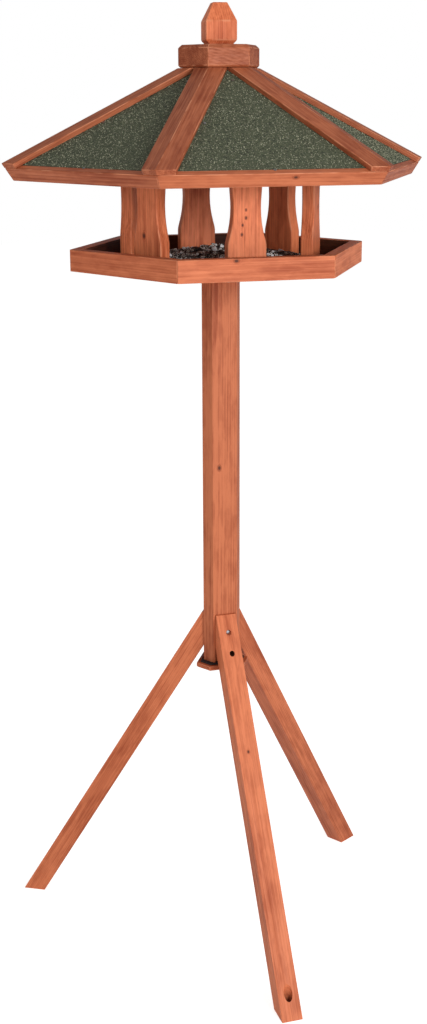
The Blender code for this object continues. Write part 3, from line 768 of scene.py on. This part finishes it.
def nailPoints():
    bm = bmesh.new()
    facing = bm.verts.layers.float_vector.new("facing")
    for k in range(6):
        rng = random.Random(200 + k)
        for flat, aside in nailLook["places"]:
            out = flat + rng.uniform(-0.002, 0.002)
            spot, normal = roofPoint(sideTurn * k, out, aside + rng.uniform(-0.005, 0.005), nailLook["lift"])
            vert = bm.verts.new(spot)
            vert[facing] = normal
    return meshObject("nailPlaces", bm)


nailSizes = {"Head radius": nailLook["head"], "Head thickness": nailLook["thick"]}
nails = nailTree().run(nailPoints(), "felt_nails", nailSizes)
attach(nails, "root")
print("nails made")

# feed on the floor
seedLook = {
    "length": 0.0105,
    "width": 0.0052,
    "thick": 0.0032,
    "radius": 0.135,  # of the heap
    "heap": 0.019,  # its height
    "perSquareMetre": 30000.0,
    "gap": 0.0006,  # between the floor and the heap's edge
    "lowest": (0.0, 0.0, 0.0010),  # how far the seeds lie over the heap
    "highest": (0.0, 0.0, 0.0046),
    "turnLow": (-0.5, -0.45, 0.0),  # how they may lie: rolled, tipped, and any way round
    "turnHigh": (0.5, 0.45, 6.28),
    "smallest": (0.75, 0.75, 0.8),
    "largest": (1.15, 1.15, 1.2),
    "black": (0.012, 0.010, 0.010),
    "grey": (0.055, 0.046, 0.040),
    "stripe": (0.86, 0.84, 0.79),
}


def heapHeight(x, y):
    reach = min(math.hypot(x, y) / seedLook["radius"], 1.0)
    swell = math.cos(reach * math.pi / 2) ** 1.2
    ripple = 0.5 + 0.25 * math.sin(x * 61 + 1.2) + 0.25 * math.sin(y * 74 + x * 23)
    return seedLook["heap"] * swell * (0.55 + 0.45 * ripple)


def heapBase():
    # a low, uneven heap that dies out before the rim
    bm = bmesh.new()
    bmesh.ops.create_grid(bm, x_segments=44, y_segments=44, size=seedLook["radius"])
    for vert in list(bm.verts):
        if math.hypot(vert.co.x, vert.co.y) > seedLook["radius"]:
            bm.verts.remove(vert)
            continue
        vert.co.z = heapHeight(vert.co.x, vert.co.y)
    bmesh.ops.translate(bm, vec=axis + up * (floorTop + seedLook["gap"]), verts=bm.verts)
    return meshObject("heapBase", bm)


def seedFinish():
    finish = Finish("sunflowerSeed", 0.45)
    side = finish.split(finish.attribute("seedPoint"))[1]
    stripe = (side * 2600.0).calc("SINE").range(0.35, 0.85)
    point = finish.objectPoint()
    pale = finish.noise(point, 60.0, 1.0).range(0.40, 0.50)
    base = finish.mix(finish.noise(point, 150.0).range(0.4, 0.6), seedLook["black"], seedLook["grey"])
    colour = finish.mix(stripe * pale * 0.95, base, seedLook["stripe"])
    finish.set({"Base Color": colour, "Roughness": stripe.range(0.0, 1.0, 0.35, 0.6)})
    finish.set({"Normal": finish.bump(stripe, 0.2, 0.0003)})
    return finish.material


def seedShape():
    # a flat teardrop, with its own coordinates kept for the stripes
    bm = bmesh.new()
    rings = ((-0.5, 0.05), (-0.36, 0.62), (-0.1, 1.0), (0.18, 0.82), (0.4, 0.36), (0.5, 0.04))
    loops = []
    for x, w in rings:
        loop = []
        for i in range(8):
            turn = i * math.tau / 8
            loop.append(bm.verts.new((x * seedLook["length"], math.cos(turn) * w * seedLook["width"] / 2,
                                      math.sin(turn) * w * seedLook["thick"] / 2)))
        loops.append(loop)
    for first, second in zip(loops, loops[1:]):
        for i in range(8):
            bm.faces.new((first[i], first[(i + 1) % 8], second[(i + 1) % 8], second[i]))
    bm.faces.new(loops[0][::-1])
    bm.faces.new(loops[-1])
    bmesh.ops.recalc_face_normals(bm, faces=bm.faces)
    for face in bm.faces:
        face.smooth = True
    obj = meshObject("seedShape", bm)
    own = obj.data.attributes.new("seedPoint", "FLOAT_VECTOR", "POINT")
    for i, vert in enumerate(obj.data.vertices):
        own.data[i].vector = vert.co
    return obj


def seedTree(shape, material):
    tree = Tree("seeds")
    density = tree.size("Density", "NodeSocketFloat", seedLook["perSquareMetre"])
    seed = tree.size("Seed", "NodeSocketInt", 1)
    lowest = tree.size("Lowest", "NodeSocketVector", seedLook["lowest"])
    highest = tree.size("Highest", "NodeSocketVector", seedLook["highest"])
    spread = tree.node("GeometryNodeDistributePointsOnFaces", values={
        "Mesh": tree.start.outputs["Geometry"], "Density": density, "Seed": seed})
    turn = tree.node("FunctionNodeRandomValue", {"data_type": "FLOAT_VECTOR"}, {
        "Min": seedLook["turnLow"], "Max": seedLook["turnHigh"], "Seed": seed})
    grow = tree.node("FunctionNodeRandomValue", {"data_type": "FLOAT_VECTOR"}, {
        "Min": seedLook["smallest"], "Max": seedLook["largest"], "Seed": seed})
    lift = tree.node("FunctionNodeRandomValue", {"data_type": "FLOAT_VECTOR"}, {
        "Min": lowest, "Max": highest, "Seed": seed})
    raised = tree.node("GeometryNodeSetPosition", values={"Geometry": spread, "Offset": lift})
    own = tree.node("GeometryNodeObjectInfo", values={"Object": shape}, output="Geometry")
    placed = tree.node("GeometryNodeInstanceOnPoints", values={
        "Points": raised, "Instance": own, "Rotation": turn, "Scale": grow})
    tree.finishWith(placed, material)
    return tree


def scatter(name, shape, material, sizes):
    # one shape strewn over the heap, and kept as a plain mesh
    made = seedTree(shape, material).run(heapBase(), name, sizes)
    bpy.data.objects.remove(shape, do_unlink=True)
    return made


seeds = scatter("feed_seeds", seedShape(), seedFinish(), {"Density": seedLook["perSquareMetre"], "Seed": 3})
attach(seeds, "root")
print("seeds made:", len(seeds.data.polygons), "faces")

kernelLook = {
    "size": 0.0050,
    "perSquareMetre": 2400.0,
    "lowest": (0, 0, 0.0042),
    "highest": (0, 0, 0.0062),
    "shade": (0.80, 0.83, 0.86),
    "pale": (0.94, 0.95, 0.94),
    "large": 0.0115,
    "largePlace": (-0.013, -0.020),  # across and back, from the axis
    "swing": -0.3,
    "lean": 1.15,
}


def kernelFinish():
    finish = Finish("paleKernel", 0.5)
    cloud = finish.noise(finish.objectPoint(), 240.0, 3.0)
    finish.set({"Base Color": finish.mix(cloud.range(0.35, 0.65), kernelLook["shade"], kernelLook["pale"])})
    finish.set({"Roughness": cloud.range(0.3, 0.7, 0.4, 0.65), "Normal": finish.bump(cloud, 0.3, 0.0005)})
    return finish.material


def kernelShape(name, size):
    # a broken kernel: a block with its corners knocked off
    bm = bmesh.new()
    bmesh.ops.create_cube(bm, size=1.0)
    bmesh.ops.scale(bm, vec=(size, size * 0.72, size * 0.60), verts=bm.verts)
    for i, vert in enumerate(bm.verts):
        vert.co *= 0.86 + 0.07 * (i % 4)
    bmesh.ops.bevel(bm, geom=bm.edges[:], offset=size * 0.11, segments=1, profile=0.5, affect="EDGES",
                    clamp_overlap=True)
    return meshObject(name, bm)


kernelMaterial = kernelFinish()
kernels = scatter("feed_kernels", kernelShape("kernelShape", kernelLook["size"]), kernelMaterial, {
    "Density": kernelLook["perSquareMetre"], "Seed": 8,
    "Lowest": kernelLook["lowest"], "Highest": kernelLook["highest"]})
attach(kernels, "root")

large = kernelShape("feed_large_kernel", kernelLook["large"])
largeX, largeY = kernelLook["largePlace"]
seat = floorTop + heapHeight(largeX, largeY) + kernelLook["large"] * 0.5
leaning = Matrix.Rotation(kernelLook["swing"], 4, "Z") @ Matrix.Rotation(kernelLook["lean"], 4, "Y")
large.data.transform(Matrix.Translation(axis + Vector((largeX, largeY, seat))) @ leaning)
large.data.materials.append(kernelMaterial)
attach(large, "root")
print("kernels made")

# floor, light and camera
studio = {
    "backdrop": 1.0,  # as the camera sees it
    "ambient": 0.34,  # as it lights the feeder
    "floorGlow": 0.72,
    "floorSpill": 0.25,  # the share of the glow that reaches the feeder
    "floorDrop": 0.0005,
    "lights": (  # name, place, what it points at, size, power
        ("key", (1.2, -3.9, 1.85), (0, 0, 0.9), 1.4, 100.0),
        ("fill", (-3.0, -2.0, 1.6), (0, 0, 0.8), 2.4, 16.0),
        ("top", (0.4, 0.5, 3.6), (0, 0, 1.0), 2.0, 3.0),
    ),
}


def stageFloor():
    bm = bmesh.new()
    bmesh.ops.create_grid(bm, x_segments=2, y_segments=2, size=12.0)
    obj = meshObject("studioFloor", bm)
    finish = Finish("paleFloor", 0.9)
    cloud = finish.noise(finish.objectPoint(), 3.0, 2.0)
    finish.set({"Base Color": finish.mix(cloud, (0.90, 0.90, 0.90), (0.93, 0.93, 0.93))})
    seen = finish.node("ShaderNodeLightPath")  # glows for the camera, hardly for the feeder
    glow = finish.mix(seen, (studio["floorSpill"],) * 3, (1.0, 1.0, 1.0))
    finish.set({"Emission Color": glow, "Emission Strength": studio["floorGlow"]})
    obj.data.materials.append(finish.material)
    obj.location.z = -studio["floorDrop"]


def areaLight(name, place, target, size, power):
    light = bpy.data.lights.new(name, "AREA")
    light.shape = "DISK"
    light.size = size
    light.energy = power
    obj = bpy.data.objects.new(name, light)
    obj.location = place
    obj.rotation_euler = (Vector(target) - Vector(place)).to_track_quat("-Z", "Y").to_euler()
    bpy.context.scene.collection.objects.link(obj)


def studioLight():
    world = bpy.data.worlds.new("studioWorld")
    world.use_nodes = True
    graph = Graph(world.node_tree)
    seen = graph.node("ShaderNodeLightPath")
    strength = graph.node("ShaderNodeMapRange", values={
        "Value": seen, "To Min": studio["ambient"], "To Max": studio["backdrop"]})
    background = world.node_tree.nodes["Background"]
    graph.feed(background.inputs["Strength"], strength)
    graph.feed(background.inputs["Color"], (1.0, 1.0, 1.0))
    bpy.context.scene.world = world
    bpy.context.scene.view_settings.view_transform = "Standard"
    for light in studio["lights"]:
        areaLight(*light)


cameraLook = {
    "place": (-0.5972, -2.1776, 1.3258),  # from the foot of the pole's axis
    "heading": math.radians(15.061),  # clockwise from straight back
    "pitch": math.radians(15.60),
    "roll": math.radians(-0.243),
    "lens": 52.2,
    "sensor": 36.0,
    "reach": 60.0,
}


def cameraView():
    # standing to the left of the front and a little above the tray, looking down at it
    place = axis + Vector(cameraLook["place"])
    heading, pitch, roll = cameraLook["heading"], cameraLook["pitch"], cameraLook["roll"]
    level = math.cos(pitch)
    forward = Vector((math.sin(heading) * level, math.cos(heading) * level, -math.sin(pitch)))
    right = Vector((math.cos(heading), -math.sin(heading), 0))
    top = right.cross(forward)
    right, top = math.cos(roll) * right + math.sin(roll) * top, math.cos(roll) * top - math.sin(roll) * right
    camera = bpy.data.cameras.new("view")
    camera.lens = cameraLook["lens"]
    camera.sensor_width = cameraLook["sensor"]
    camera.clip_end = cameraLook["reach"]
    obj = bpy.data.objects.new("view", camera)
    basis = Matrix((right, top, -forward)).transposed()
    obj.matrix_world = Matrix.Translation(place) @ basis.to_4x4()
    bpy.context.scene.collection.objects.link(obj)
    bpy.context.scene.camera = obj


stageFloor()
studioLight()
cameraView()
print("studio set")
